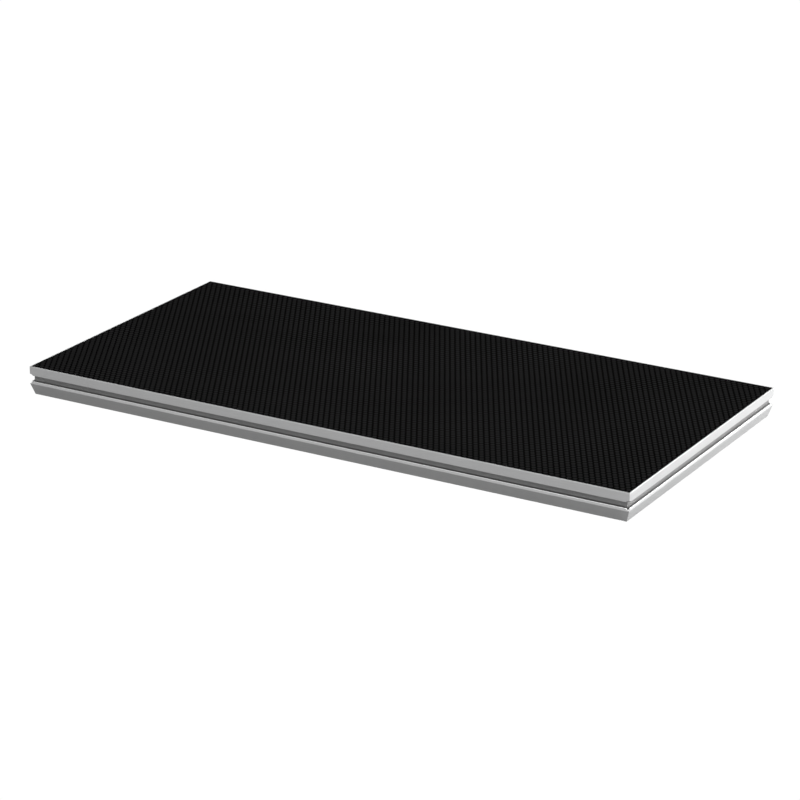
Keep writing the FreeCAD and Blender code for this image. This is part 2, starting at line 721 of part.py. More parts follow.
def make_receiver_screws():
    """Flanged M8 bolts, drawn along X from the rail's outer face inward."""
    body = new_body("receiver_screw_pattern")
    seat = "(rail_depth + plate_gap + plate_thickness)"
    point = f"({seat} - bolt_grip)"
    head_end = f"({seat} + bolt_head_height)"
    flange_end = f"({seat} + bolt_flange_height)"
    profile = sketch_on(body, "XZ_Plane", "shank_and_flange")
    add_outline(profile, [
        (point, "0"),
        (point, "bolt_radius - 1"),
        (f"{point} + 1", "bolt_radius"),
        (seat, "bolt_radius"),
        (seat, "bolt_flange_radius"),
        (flange_end, "bolt_flange_radius"),
        (head_end, "bolt_head_flats / 2"),
        (head_end, "0"),
    ])
    revolve(body, profile)
    # The head's round body is cut back to a hexagon above the flange
    cutter = sketch_on(body, "YZ_Plane", "hexagon", level=flange_end)
    half = "(bolt_head_flats / 2)"
    point_reach = f"({half} / {COS_30})"
    add_outline(cutter, [
        ("0", point_reach), (f"-{half}", f"{point_reach} / 2"), (f"-{half}", f"-{point_reach} / 2"),
        ("0", f"-{point_reach}"), (half, f"-{point_reach} / 2"), (half, f"{point_reach} / 2"),
    ])
    add_circle(cutter, "0", "0", "bolt_flange_radius + 1")
    pocket(body, cutter, "hexagon_head", forward=True)
    group("receiver_screws", body, bolt_places())


def make_rivet_nuts():
    """Blind rivet nuts in the rails' inner walls, drawn along X from the rail's outer face inward."""
    body = new_body("rivet_nut_pattern")
    wall_back = "(rail_depth - inner_wall - nut_gap)"
    start = "(rail_depth - nut_length)"
    bulge = f"({wall_back} - nut_bulge_length)"
    profile = sketch_on(body, "XZ_Plane", "profile")
    add_outline(profile, [
        (start, "nut_bore_radius"),
        (start, "nut_radius"),
        (bulge, "nut_radius"),
        (f"{bulge} + 1", "nut_bulge_radius"),
        (wall_back, "nut_bulge_radius"),
        (wall_back, "nut_radius"),
        ("rail_depth", "nut_radius"),
        ("rail_depth", "nut_bore_radius"),
    ])
    revolve(body, profile)
    group("rivet_nuts", body, bolt_places())


# Leg clamps: every piece is drawn on the clamp's axis, X pointing away from the leg --------------


def make_thread_inserts():
    body = new_body("thread_insert_pattern")
    profile = sketch_on(body, "XZ_Plane", "profile")
    add_outline(profile, [
        ("guide_end", "thread_bore_radius"),
        ("guide_end", "insert_radius - insert_gap"),
        ("boss_end + insert_gap", "insert_radius - insert_gap"),
        ("boss_end + insert_gap", "insert_flange_radius"),
        ("boss_end + insert_flange_length", "insert_flange_radius"),
        ("boss_end + insert_flange_length", "thread_bore_radius"),
    ])
    revolve(body, profile)
    group("thread_inserts", body, [(place_at_corner, (corner, "clamp_height")) for corner in CORNERS])


def make_clamp_pad(corner):
    """Round pad whose face is hollowed to the tube, with a recess for the screw's retaining clip."""
    body = new_body(f"clamp_pad_{corner}")
    blank = sketch_on(body, "YZ_Plane", "blank_section")
    add_circle(blank, "0", "0", "pad_radius")
    pad(body, blank, "blank", "pad_back")
    face = sketch_on(body, "XY_Plane", "tube_plan")
    add_circle(face, "pad_draw_back", "0", "leg_tube_radius")
    pocket(body, face, "tube_face", side="Symmetric")
    recess = sketch_on(body, "YZ_Plane", "recess_section")
    add_circle(recess, "0", "0", "pad_recess_radius")
    pocket(body, recess, "clip_recess", "pad_floor", forward=True)
    hole = sketch_on(body, "YZ_Plane", "hole_section")
    add_circle(hole, "0", "0", "pad_bore_radius")
    pocket(body, hole, "journal_hole", forward=True)
    place_at_corner(body, corner, "clamp_height")
    keep(body)


def make_clamp_screw(corner):
    body = new_body(f"clamp_screw_{corner}")
    profile = sketch_on(body, "XZ_Plane", "profile")
    tang_end = "(hub_start + tang_length)"
    add_outline(profile, [
        ("journal_start", "0"),
        ("journal_start", "journal_radius - journal_chamfer"),
        ("journal_start + journal_chamfer", "journal_radius"),
        ("groove_start", "journal_radius"),
        ("groove_start", "groove_radius"),
        ("groove_end", "groove_radius"),
        ("groove_end", "journal_radius"),
        ("shoulder", "journal_radius"),
        ("shoulder", "thread_radius - thread_chamfer"),
        ("shoulder + thread_chamfer", "thread_radius"),
        ("hub_start", "thread_radius"),
        ("hub_start", "tang_radius"),
        (tang_end, "tang_radius"),
        (tang_end, "0"),
    ])
    revolve(body, profile)
    place_at_corner(body, corner, "clamp_height")
    keep(body)


def make_clamp_clip(corner):
    """Open retaining clip in the screw's groove, which draws the pad back with the screw."""
    body = new_body(f"clamp_clip_{corner}")
    ring = sketch_on(body, "YZ_Plane", "ring_section", level="groove_start + clip_gap")
    add_circle(ring, "0", "0", "clip_radius")
    add_circle(ring, "0", "0", "groove_radius + clip_gap")
    pad(body, ring, "ring", "groove_end - groove_start - 2 * clip_gap")
    mouth = sketch_on(body, "YZ_Plane", "mouth_section")
    add_box(mouth, "-clip_mouth / 2", "0", "clip_mouth / 2", f"clip_radius + {CUT_MARGIN}")
    pocket(body, mouth, "mouth", forward=True)
    place_at_corner(body, corner, "clamp_height")
    keep(body)


def make_clamp_knob(corner):
    """Star knob: a hub and a thick disc with round lobes."""
    body = new_body(f"clamp_knob_{corner}")
    hub = sketch_on(body, "YZ_Plane", "hub_section", level="hub_start")
    add_circle(hub, "0", "0", "hub_radius")
    pad(body, hub, "hub", "hub_length")
    disc = sketch_on(body, "YZ_Plane", "disc_section", level="star_start")
    add_circle(disc, "0", "0", "star_radius")
    pad(body, disc, "disc", "star_thickness")
    lobe = sketch_on(body, "YZ_Plane", "lobe_section", level="star_start")
    add_circle(lobe, "0", "lobe_offset", "lobe_radius")
    first_lobe = pad(body, lobe, "lobe", "star_thickness")
    lobes = body.newObject("PartDesign::PolarPattern", "lobes")
    lobes.Originals = [first_lobe]
    lobes.Axis = (lobe, ["N_Axis"])
    lobes.Angle = FULL_TURN
    lobes.Occurrences = KNOB_LOBES
    body.Tip = lobes
    doc.recompute()

    near_face = value("star_start")
    far_face = value("star_start + star_thickness")
    hub_radius = value("hub_radius")

    def is_rim(edge):
        box = edge.BoundBox
        on_face = min(abs(box.XMin - near_face), abs(box.XMin - far_face)) < CLOSE
        reach = max(abs(box.YMin), abs(box.YMax), abs(box.ZMin), abs(box.ZMax))
        return box.XLength < CLOSE and on_face and reach > hub_radius + CLOSE

    dress(body, "Fillet", lobes, edges_where(lobes, is_rim), "star_rounding")
    hole = sketch_on(body, "YZ_Plane", "tang_hole_section")
    add_circle(hole, "0", "0", "tang_radius + tang_gap")
    pocket(body, hole, "tang_hole", "hub_start + tang_length + tang_gap", forward=True)
    place_at_corner(body, corner, "clamp_height")
    keep(body)


# The whole deck ----------------------------------------------------------------------------------

make_rails()
make_cross_structure()
make_panel()
make_deck_screws()
make_receiver_screws()
make_rivet_nuts()
make_thread_inserts()
for name in CORNERS:
    make_corner_cleat(name)
    make_leg_receiver(name)
    make_clamp_pad(name)
    make_clamp_screw(name)
    make_clamp_clip(name)
    make_clamp_knob(name)
doc.recompute()

for item in doc.Objects:
    if "Invalid" in item.State or "Error" in item.State:
        raise RuntimeError(f"{item.Label} could not be built")
for node in nodes:
    if node.Shape.isNull() or not node.Shape.isValid():
        raise RuntimeError(f"{node.Label} has no valid shape")

os.makedirs("parts", exist_ok=True)
for node in nodes:
    node.Shape.exportStep(f"parts/{node.Label}.step")
    print(node.Label, len(node.Shape.Solids), round(node.Shape.Volume))
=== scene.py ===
"""Looks of a stage deck: relief on the walking surface, threads, welds, knobs and every material."""
import json
import math

import bmesh
import bpy
from mathutils import Matrix, Vector


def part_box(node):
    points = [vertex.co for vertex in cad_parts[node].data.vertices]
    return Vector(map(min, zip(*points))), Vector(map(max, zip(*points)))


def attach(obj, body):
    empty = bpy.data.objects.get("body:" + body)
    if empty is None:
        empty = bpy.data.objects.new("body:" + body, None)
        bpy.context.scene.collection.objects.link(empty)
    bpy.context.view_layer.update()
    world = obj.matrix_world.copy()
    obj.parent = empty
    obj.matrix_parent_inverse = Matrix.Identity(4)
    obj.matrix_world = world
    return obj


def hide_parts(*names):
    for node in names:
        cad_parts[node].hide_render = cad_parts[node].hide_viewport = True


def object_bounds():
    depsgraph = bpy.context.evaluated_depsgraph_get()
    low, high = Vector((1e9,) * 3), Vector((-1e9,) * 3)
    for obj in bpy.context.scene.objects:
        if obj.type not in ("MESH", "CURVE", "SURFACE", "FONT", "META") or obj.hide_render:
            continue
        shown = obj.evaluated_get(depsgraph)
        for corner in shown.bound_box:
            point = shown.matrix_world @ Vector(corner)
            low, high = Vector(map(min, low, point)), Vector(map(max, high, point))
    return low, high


MM = 0.001

CORNERS = ("front_left", "front_right", "rear_right", "rear_left")

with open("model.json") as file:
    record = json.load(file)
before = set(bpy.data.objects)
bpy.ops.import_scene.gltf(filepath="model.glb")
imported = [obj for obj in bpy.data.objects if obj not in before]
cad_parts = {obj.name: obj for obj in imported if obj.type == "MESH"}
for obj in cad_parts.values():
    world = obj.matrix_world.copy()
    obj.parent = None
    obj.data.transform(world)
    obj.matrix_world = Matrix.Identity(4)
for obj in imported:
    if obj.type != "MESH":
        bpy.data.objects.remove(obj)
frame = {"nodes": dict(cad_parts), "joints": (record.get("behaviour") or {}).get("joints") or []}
cad_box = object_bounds()
nodes = frame["nodes"]
joints = {joint["name"]: joint for joint in frame["joints"]}
ALONG = {"x": 0, "y": 1, "z": 2}

# The deck's own lines: heights above its underside, and the slot's depth from the rail's outer face
deck_top = cad_box[1][2]
RIDGE_HEIGHT = 35 * MM
SLOT_TOP = 61 * MM
SLOT_FLOOR = 36 * MM
SLOT_DEPTH = 10 * MM
PLY_COUNT = 9

# Raised hexagons of the walking surface: how many fill its length and width, and their share of a cell
HEX_COLUMNS = 110
HEX_ROWS = 60
HEX_FOOT = 0.78
HEX_TOP = 0.70
GROOVE_FLOOR = deck_top - 0.4 * MM
SHARED_CORNER = 0.2 * MM  # grid on which the corners of neighbouring cells are matched
TRIM_TOLERANCE = 1e-7

# Clamp screw, along its axis from the leg's centre: journal, thread, end in the knob
SCREW_NOSE = [(26.8 * MM, 3.0 * MM), (27.3 * MM, 3.5 * MM), (27.8 * MM, 3.5 * MM), (27.8 * MM, 2.7 * MM),
              (28.6 * MM, 2.7 * MM), (28.6 * MM, 3.5 * MM), (33.1 * MM, 3.5 * MM), (33.1 * MM, 5.0 * MM)]
SCREW_TAIL = [(59.0 * MM, 5.95 * MM), (59.0 * MM, 5.0 * MM), (74.0 * MM, 5.0 * MM)]
THREAD_START = 34.05 * MM
THREAD_END = 58.0 * MM
THREAD_PITCH = 1.75 * MM
THREAD_CREST = 5.95 * MM
THREAD_DEPTH = 1.0 * MM
THREAD_CREST_SHARE = 0.15
THREAD_FLANK_SHARE = 0.65
SCREW_FACETS = 48
ROWS_PER_PITCH = 12

# Star knob: place along the axis, outer radius, depth of the hollows between the lobes
KNOB_LOBES = 5
KNOB_FACETS = 120
LOBE_FULLNESS = 0.8
KNOB_PROFILE = [(along * MM, radius * MM, scallop * MM) for along, radius, scallop in (
    (74.02, 5.02, 0), (59.0, 5.02, 0), (59.0, 11.8, 0), (59.3, 12.6, 0), (60.0, 13.0, 0), (61.6, 13.0, 0),
    (62.2, 13.5, 0), (62.5, 14.6, 0), (62.5, 25.4, 7.2), (62.8, 26.8, 7.7), (63.5, 27.6, 7.9),
    (64.6, 27.9, 8.0), (69.7, 27.9, 8.0), (69.85, 28.0, 8.0), (70.15, 28.0, 8.0), (70.3, 27.9, 8.0),
    (75.4, 27.9, 8.0), (76.5, 27.6, 7.9), (77.2, 26.8, 7.7), (77.5, 25.4, 7.2), (77.5, 16.4, 0),
    (77.1, 15.7, 0), (77.1, 14.2, 0), (77.8, 13.2, 0), (80.6, 12.6, 0), (81.6, 12.0, 0), (82.0, 11.0, 0),
    (82.0, 7.6, 0), (81.3, 6.8, 0), (81.2, 3.0, 0))]

# Weld beads at the cross members' ends
MEMBER_RADIUS = 3 * MM
WELD_LEG = 4.4 * MM
WELD_STEP = 2.6 * MM
WELD_LAG = 0.9 * MM
WELD_RIPPLE = 0.07
WELD_HOLLOW = 0.22
WELD_COLUMNS = 9
ROWS_PER_RIPPLE = 8

# Deck screws, upward from the seat of the head
SCREW_HEAD = 3 * MM
DECK_SCREW_FACETS = 24
DECK_SCREW_SPACING = 20 * MM  # no two deck screws are closer
RECESS_LOBES = 6
SCREW_RECESS = [(-1.3 * MM, 1.9 * MM, 0.5 * MM), (-2.8 * MM, 2.1 * MM, 0.55 * MM),
                (-3.0 * MM, 2.3 * MM, 0.5 * MM)]
SCREW_PAN = [(-3.0 * MM, 3.1 * MM), (-2.7 * MM, 3.9 * MM), (-2.1 * MM, 4.45 * MM), (-1.3 * MM, 4.7 * MM),
             (-0.1 * MM, 4.7 * MM), (0.0, 4.6 * MM), (0.0, 2.0 * MM), (0.6 * MM, 1.5 * MM)]
SCREW_PLAIN = 0.8 * MM
SCREW_POINT = 11.7 * MM
SCREW_PITCH = 1.9 * MM
SCREW_CREST = 2.0 * MM
SCREW_ROOT = 1.45 * MM
SCREW_TAPER = 3 * MM
SCREW_SHARPNESS = 5
DECK_SCREW_ROWS_PER_PITCH = 6

# Finishes, lights and camera
RAIL_TONE = 0.56
EXTRUSION_SHEEN = 0.5
PAINTED_SHADE_SHARE = 0.2  # tone of metal in full painted shade, as a share of the rail's
# Scuffs along the ridge and the band's lower edge, partly real wear and partly a painted highlight
SCUFF_HIGHLIGHT_SHARE = 1.22
SCUFF_ROUGHNESS = 0.14
SCUFF_HIGHLIGHT_STRENGTH = 0.5
SCUFF_HIGHLIGHT_FADE = (0.4 * MM, 1.8 * MM)
# Painted shade on the top of the rails' lip: how dark, and the heights over which it fades in
LIP_PAINTED_SHADE = 0.8
LIP_FADE = (deck_top - 1.2 * MM, deck_top - 0.2 * MM)
# Painted shade inside the slot: how dark its back wall is and, added to that, how much darker low down. Set
# separately for the rails that face along Y and those that face along X
SLOT_PAINTED_SHADE = {"y": (0.4, 0.55), "x": (0.72, 0.12)}
SLOT_MOUTH_FADE = (4.5 * MM, 8 * MM)
SLOT_WALL_FADE = (SLOT_DEPTH + 1 * MM, SLOT_DEPTH + 2 * MM)
SLOT_FOOT_FADE = (SLOT_FLOOR - 1 * MM, SLOT_FLOOR - 0.2 * MM)
SLOT_LOW_FADE = (SLOT_FLOOR + 7 * MM, SLOT_FLOOR + 11 * MM)
CASTING_TONE = 0.5
FLOOR_REACH = 40
FLOOR_GAP = 0.2 * MM
FLOOR_BOUNCE = 0.12
WORLD_STRENGTH = 0.5
PAPER_FADE = (0.2, 0.38)  # rise of the line of sight over which the white paper turns into the world's grey
# Each light's name, place, width and height, and power in watts
LIGHTS = (("front_softbox", (1.0, -3.0, 5.2), (3.5, 2.0), 460),
          ("right_softbox", (5.0, 3.2, 1.9), (4.0, 2.0), 790),
          ("rear_softbox", (-3.0, 3.6, 4.5), (4.0, 2.0), 280),
          ("under_light", (0.0, 0.0, -1.1), (1.7, 0.25), 22))
# Camera: angles in degrees, distance, aim and view limit in metres, lens and sensor in millimetres
SENSOR_WIDTH = 36
VIEW_LIMIT = 100
CAMERA_AZIMUTH = 29.253
CAMERA_ELEVATION = 19.836
CAMERA_ROLL = 0.756
CAMERA_DISTANCE = 8.8365
CAMERA_AIM = (0.1016, -0.1777)
CAMERA_LENS = 135.416


# Shader building ---------------------------------------------------------------------------------------


class Shader:
    """A Principled material whose nodes are added one call at a time."""

    def __init__(self, name):
        self.material = bpy.data.materials.new(name)
        self.material.use_nodes = True
        self.tree = self.material.node_tree
        self.surface = self.tree.nodes["Principled BSDF"]
        self.place = self.add("ShaderNodeTexCoord").outputs["Object"]

    def add(self, kind, inputs=None, **settings):
        node = self.tree.nodes.new(kind)
        for key, setting in settings.items():
            setattr(node, key, setting)
        for key, source in (inputs or {}).items():
            self.feed(node.inputs[key], source)
        return node

    def feed(self, socket, source):
        if isinstance(source, bpy.types.NodeSocket):
            self.tree.links.new(source, socket)
        else:
            socket.default_value = source

    def set(self, **inputs):
        for key, source in inputs.items():
            self.feed(self.surface.inputs[key.replace("_", " ")], source)

    def noise(self, scale, detail=3.0, stretch=(1, 1, 1), roughness=0.5, seed=0.0):
        """Noise from 0 to 1 with scale in cells per metre, stretched along an axis by a small factor."""
        mapped = self.add("ShaderNodeMapping", {"Vector": self.place, "Scale": stretch,
                                                "Location": (seed, seed * 0.7, seed * 1.3)})
        return self.add("ShaderNodeTexNoise", {"Vector": mapped.outputs[0], "Scale": scale, "Detail": detail,
                                               "Roughness": roughness}).outputs["Fac"]

    def remap(self, source, low, high, to_low=0.0, to_high=1.0):
        return self.add("ShaderNodeMapRange", {"Value": source, "From Min": low, "From Max": high,
                                               "To Min": to_low, "To Max": to_high}).outputs[0]

    def math(self, operation, first, second=0.0):
        return self.add("ShaderNodeMath", {0: first, 1: second}, operation=operation).outputs[0]

    def mix(self, factor, first, second):
        """Colour between two colours, each a socket or three numbers."""
        node = self.add("ShaderNodeMix", {"Factor": factor}, data_type="RGBA")
        for socket, source in ((node.inputs[6], first), (node.inputs[7], second)):
            self.feed(socket, source if isinstance(source, bpy.types.NodeSocket) else (*source, 1.0))
        return node.outputs[2]

    def axis(self, name):
        return self.add("ShaderNodeSeparateXYZ", {"Vector": self.place}).outputs[ALONG[name]]

    def bump(self, height, depth, strength=1.0, under=None):
        """Surface relief of the given depth in metres, on top of an earlier one."""
        inputs = {"Height": height, "Distance": depth, "Strength": strength}
        if under is not None:
            inputs["Normal"] = under
        return self.add("ShaderNodeBump", inputs).outputs[0]


def grey(level, tint=(1.0, 1.0, 1.0)):
    return tuple(level * channel for channel in tint)


# Metals ------------------------------------------------------------------------------------------------


def extruded_aluminium(name, along, tone, edge_rail=False):
    """Mill-finish extrusion: fine die lines along its length, cloudy stains; on the edge rails painted shade
    in the slot and on the lip's top, and patchy scuffs with a painted highlight along the outer lines.
    """
    shader = Shader(name)
    stretch = [1.0, 1.0, 1.0]
    stretch[ALONG[along]] = 0.004
    die_lines = shader.noise(1400, detail=4, stretch=stretch, roughness=0.7)
    broad_lines = shader.noise(260, detail=2, stretch=stretch, seed=3.1)
    clouds = shader.noise(9, detail=4, roughness=0.6, seed=7.7)
    specks = shader.noise(900, detail=2, seed=1.9)

    lines = shader.remap(die_lines, 0.3, 0.7)
    colour = shader.mix(lines, grey(tone * 0.93, (0.99, 1.0, 1.01)), grey(tone * 1.05, (1.0, 1.0, 0.995)))
    stains_and_painted_light = shader.mix(shader.remap(clouds, 0.35, 0.75, 0.0, 0.35), colour, grey(tone * 0.86))
    roughness = shader.remap(broad_lines, 0.3, 0.7, 0.34, 0.46)
    if edge_rail:
        # Painted shade inside the slot
        slot_shade = slot_painted_shade(shader, "y" if along == "x" else "x")
        stains_and_painted_light = shader.mix(slot_shade, stains_and_painted_light, grey(tone * PAINTED_SHADE_SHARE, (1.0, 0.99, 0.97)))
        # Painted shade on the top of the lip
        lip_shade = shader.remap(shader.axis("z"), *LIP_FADE, 0.0, LIP_PAINTED_SHADE)
        stains_and_painted_light = shader.mix(lip_shade, stains_and_painted_light, grey(tone * PAINTED_SHADE_SHARE))
        # Scuffs on the outer lines, partly real wear and partly a painted highlight
        scuff_and_highlight = edge_scuffs_and_highlight(shader)
        stains_and_painted_light = shader.mix(scuff_and_highlight, stains_and_painted_light, grey(tone * SCUFF_HIGHLIGHT_SHARE))
        roughness = shader.math("ADD", roughness, shader.math("MULTIPLY", scuff_and_highlight, SCUFF_ROUGHNESS))
    pits = shader.bump(shader.remap(specks, 0.62, 0.8), 0.03 * MM, 0.5)
    relief = shader.bump(die_lines, 0.02 * MM, 0.6, under=pits)
    shader.set(Base_Color=stains_and_painted_light, Metallic=EXTRUSION_SHEEN, Roughness=roughness, Normal=relief)
    return shader.material


def slot_painted_shade(shader, across):
    """Painted shade inside the slot: 0 outside it, more on its back wall, most low down inside it."""
    reach = cad_box[1][ALONG[across]]
    inset = shader.math("SUBTRACT", reach, shader.math("ABSOLUTE", shader.axis(across)))
    height = shader.axis("z")
    inside = shader.remap(inset, *SLOT_MOUTH_FADE)
    outside_wall = shader.remap(inset, *SLOT_WALL_FADE, 1.0, 0.0)
    above_foot = shader.remap(height, *SLOT_FOOT_FADE)
    low_down = shader.remap(height, *SLOT_LOW_FADE, 1.0, 0.0)
    wall_darkness, low_darkness = SLOT_PAINTED_SHADE[across]
    strength = shader.math("ADD", shader.math("MULTIPLY", low_down, low_darkness), wall_darkness)
    slot = shader.math("MULTIPLY", shader.math("MULTIPLY", inside, outside_wall), above_foot)
    return shader.math("MULTIPLY", slot, strength)


def edge_scuffs_and_highlight(shader):
    """Patchy bright scuffs, partly real wear and partly a painted highlight, along the lines that stand out
    furthest: the ridge and the band's lower edge.
    """
    height = shader.axis("z")
    patches = shader.remap(shader.noise(34, detail=5, roughness=0.65, seed=4.4), 0.52, 0.66)
    near = None
    for level in (RIDGE_HEIGHT, SLOT_TOP):
        distance = shader.math("ABSOLUTE", shader.math("SUBTRACT", height, level))
        band = shader.remap(distance, *SCUFF_HIGHLIGHT_FADE, 1.0, 0.0)
        near = band if near is None else shader.math("MAXIMUM", near, band)
    return shader.math("MULTIPLY", shader.math("MULTIPLY", near, patches), SCUFF_HIGHLIGHT_STRENGTH)


def cast_aluminium(name, tone):
    """Tumbled sand casting: grainy, slightly lumpy skin with darker hollows of the grain."""
    shader = Shader(name)
    grain = shader.noise(1100, detail=5, roughness=0.6)
    lumps = shader.noise(120, detail=3, seed=2.2)
    clouds = shader.noise(25, detail=4, seed=8.8)
    skin = shader.mix(shader.remap(grain, 0.35, 0.65), grey(tone * 0.78), grey(tone * 1.08))
    colour = shader.mix(shader.remap(clouds, 0.4, 0.7, 0.0, 0.4), skin, grey(tone * 0.8, (1.0, 0.985, 0.96)))
    relief = shader.bump(grain, 0.12 * MM, 0.7, under=shader.bump(lumps, 0.5 * MM, 0.5))
    shader.set(Base_Color=colour, Metallic=1.0, Roughness=shader.remap(clouds, 0.3, 0.7, 0.5, 0.64),
               Normal=relief)
    return shader.material


def zinc_plated(name, tone, warmth=0.0):
    """Bright zinc with a faint blue and straw cast and fine handling marks."""
    shader = Shader(name)
    cast = shader.noise(140, detail=3, seed=5.5)
    marks = shader.noise(2200, detail=4, stretch=(1.0, 0.15, 1.0), roughness=0.7)
    cool = grey(tone, (0.96, 0.99, 1.05))
    straw = grey(tone, (1.05 + warmth, 1.0, 0.88 - warmth))
    colour = shader.mix(shader.remap(cast, 0.4, 0.66), cool, straw)
    worn = shader.mix(shader.remap(marks, 0.55, 0.8, 0.0, 0.5), colour, grey(tone * 0.7))
    shader.set(Base_Color=worn, Metallic=1.0, Roughness=shader.remap(marks, 0.3, 0.8, 0.24, 0.44),
               Normal=shader.bump(marks, 0.03 * MM, 0.5))
    return shader.material


def blackened_steel(name):
    shader = Shader(name)
    mottle = shader.noise(1500, detail=4)
    colour = shader.mix(shader.remap(mottle, 0.4, 0.65), grey(0.05, (1.0, 1.0, 1.05)),
                        grey(0.14, (1.05, 1.0, 0.95)))
    shader.set(Base_Color=colour, Metallic=1.0, Roughness=shader.remap(mottle, 0.3, 0.7, 0.38, 0.55),
               Normal=shader.bump(mottle, 0.03 * MM, 0.5))
    return shader.material


def turned_brass(name):
    shader = Shader(name)
    tarnish = shader.noise(160, detail=4, seed=6.1)
    tool_marks = shader.noise(2600, detail=3, stretch=(1.0, 1.0, 0.1))
    colour = shader.mix(shader.remap(tarnish, 0.38, 0.7), (0.80, 0.60, 0.27), (0.46, 0.31, 0.13))
    shader.set(Base_Color=colour, Metallic=1.0, Roughness=shader.remap(tarnish, 0.3, 0.7, 0.26, 0.44),
               Normal=shader.bump(tool_marks, 0.03 * MM, 0.6))
    return shader.material


def weld_metal(name):
    """Fresh TIG bead: bright crests, sooty edges."""
    shader = Shader(name)
    soot = shader.noise(210, detail=4, seed=9.3)
    grain = shader.noise(1800, detail=3)
    colour = shader.mix(shader.remap(soot, 0.42, 0.68), grey(0.66), grey(0.36, (1.03, 1.0, 0.96)))
    shader.set(Base_Color=colour, Metallic=1.0, Roughness=shader.remap(soot, 0.3, 0.7, 0.3, 0.52),
               Normal=shader.bump(grain, 0.03 * MM, 0.6))
    return shader.material


# Panel, rubber and plastic -----------------------------------------------------------------------------


def grip_film_material(name):
    """Black phenolic film: the grooves between the raised hexagons are painted near black and without sheen
    as painted shade; the tops are greyer, with patches of wear.
    """
    shader = Shader(name)
    height = shader.remap(shader.axis("z"), GROOVE_FLOOR + 0.1 * MM, deck_top - 0.05 * MM)
    grain = shader.noise(1900, detail=4, roughness=0.7)
    traffic = shader.noise(2.2, detail=5, roughness=0.6, seed=2.7)
    dust = shader.noise(700, detail=3, seed=5.9)
    tops = shader.mix(shader.remap(traffic, 0.35, 0.7), grey(0.0038), grey(0.0052, (1.0, 1.0, 1.02)))
    speckled = shader.mix(shader.remap(grain, 0.4, 0.7, 0.0, 0.6), tops, grey(0.0026))
    # Painted shade: the grooves between the hexagons are near black
    colour = shader.mix(height, grey(0.0003), speckled)
    dust_and_groove_shade = shader.mix(shader.remap(dust, 0.72, 0.86, 0.0, 0.35), colour, grey(0.012, (1.05, 1.0, 0.94)))
    shader.set(Base_Color=dust_and_groove_shade, Roughness=shader.remap(grain, 0.3, 0.7, 0.62, 0.85),
               Specular_IOR_Level=shader.remap(height, 0.0, 1.0, 0.0, 0.007),
               Normal=shader.bump(grain, 0.06 * MM, 0.7))
    return shader.material


def backing_film_material(name):
    """Smooth brown phenolic film over the board's underside, with the cloudy tone of the veneer beneath."""
    shader = Shader(name)
    veneer = shader.noise(30, detail=6, stretch=(0.08, 1.0, 1.0), roughness=0.65)
    clouds = shader.noise(4, detail=4, seed=3.3)
    scuffs = shader.noise(160, detail=5, stretch=(1.0, 0.12, 1.0), roughness=0.75, seed=1.2)
    colour = shader.mix(shader.remap(veneer, 0.35, 0.7), (0.062, 0.030, 0.018), (0.105, 0.054, 0.032))
    toned = shader.mix(shader.remap(clouds, 0.35, 0.7, 0.0, 0.45), colour, (0.05, 0.026, 0.017))
    worn = shader.mix(shader.remap(scuffs, 0.66, 0.8, 0.0, 0.3), toned, (0.24, 0.19, 0.15))
    shader.set(Base_Color=worn, Roughness=shader.remap(scuffs, 0.4, 0.8, 0.34, 0.6),
               Normal=shader.bump(veneer, 0.08 * MM, 0.4))
    return shader.material


def plywood_material(name, bottom, top):
    """Birch plywood: veneers in alternate directions with dark glue lines between them."""
    shader = Shader(name)
    layer = shader.remap(shader.axis("z"), bottom, top, 0.0, PLY_COUNT)
    within = shader.math("FRACT", layer)
    odd = shader.remap(shader.math("MODULO", shader.math("FLOOR", layer), 2.0), 0.4, 0.6)
    long_grain = shader.noise(420, detail=5, stretch=(0.03, 1.0, 1.0), roughness=0.7)
    cross_grain = shader.noise(420, detail=5, stretch=(1.0, 0.03, 1.0), roughness=0.7)
    pale = shader.mix(shader.remap(long_grain, 0.3, 0.7), (0.62, 0.44, 0.27), (0.76, 0.60, 0.40))
    dark = shader.mix(shader.remap(cross_grain, 0.3, 0.7), (0.44, 0.28, 0.15), (0.60, 0.42, 0.25))
    wood = shader.mix(odd, pale, dark)
    glue_line = shader.remap(within, 0.0, 0.12, 1.0, 0.0)
    colour = shader.mix(glue_line, wood, (0.06, 0.03, 0.018))
    shader.set(Base_Color=colour, Roughness=0.62, Normal=shader.bump(long_grain, 0.1 * MM, 0.5))
    return shader.material


def rubber_material(name):
    shader = Shader(name)
    skin = shader.noise(1300, detail=4, roughness=0.6)
    bloom = shader.noise(60, detail=4, seed=4.9)
    colour = shader.mix(shader.remap(bloom, 0.4, 0.75), grey(0.012), grey(0.032, (1.0, 1.0, 1.04)))
    shader.set(Base_Color=colour, Roughness=shader.remap(skin, 0.3, 0.7, 0.72, 0.9), Specular_IOR_Level=0.3,
               Normal=shader.bump(skin, 0.08 * MM, 0.7))
    return shader.material


def moulded_plastic(name):
    """Black moulded knob: spark-eroded grain, rubbed smoother and greyer in patches."""
    shader = Shader(name)
    cells = shader.add("ShaderNodeTexVoronoi", {"Vector": shader.place, "Scale": 1700.0}).outputs["Distance"]
    rub = shader.noise(120, detail=4, seed=7.1)
    colour = shader.mix(shader.remap(rub, 0.42, 0.7), grey(0.014), grey(0.036, (1.0, 1.0, 1.03)))
    shader.set(Base_Color=colour, Roughness=shader.remap(rub, 0.3, 0.7, 0.56, 0.4),
               Normal=shader.bump(cells, 0.06 * MM, 0.6))
    return shader.material


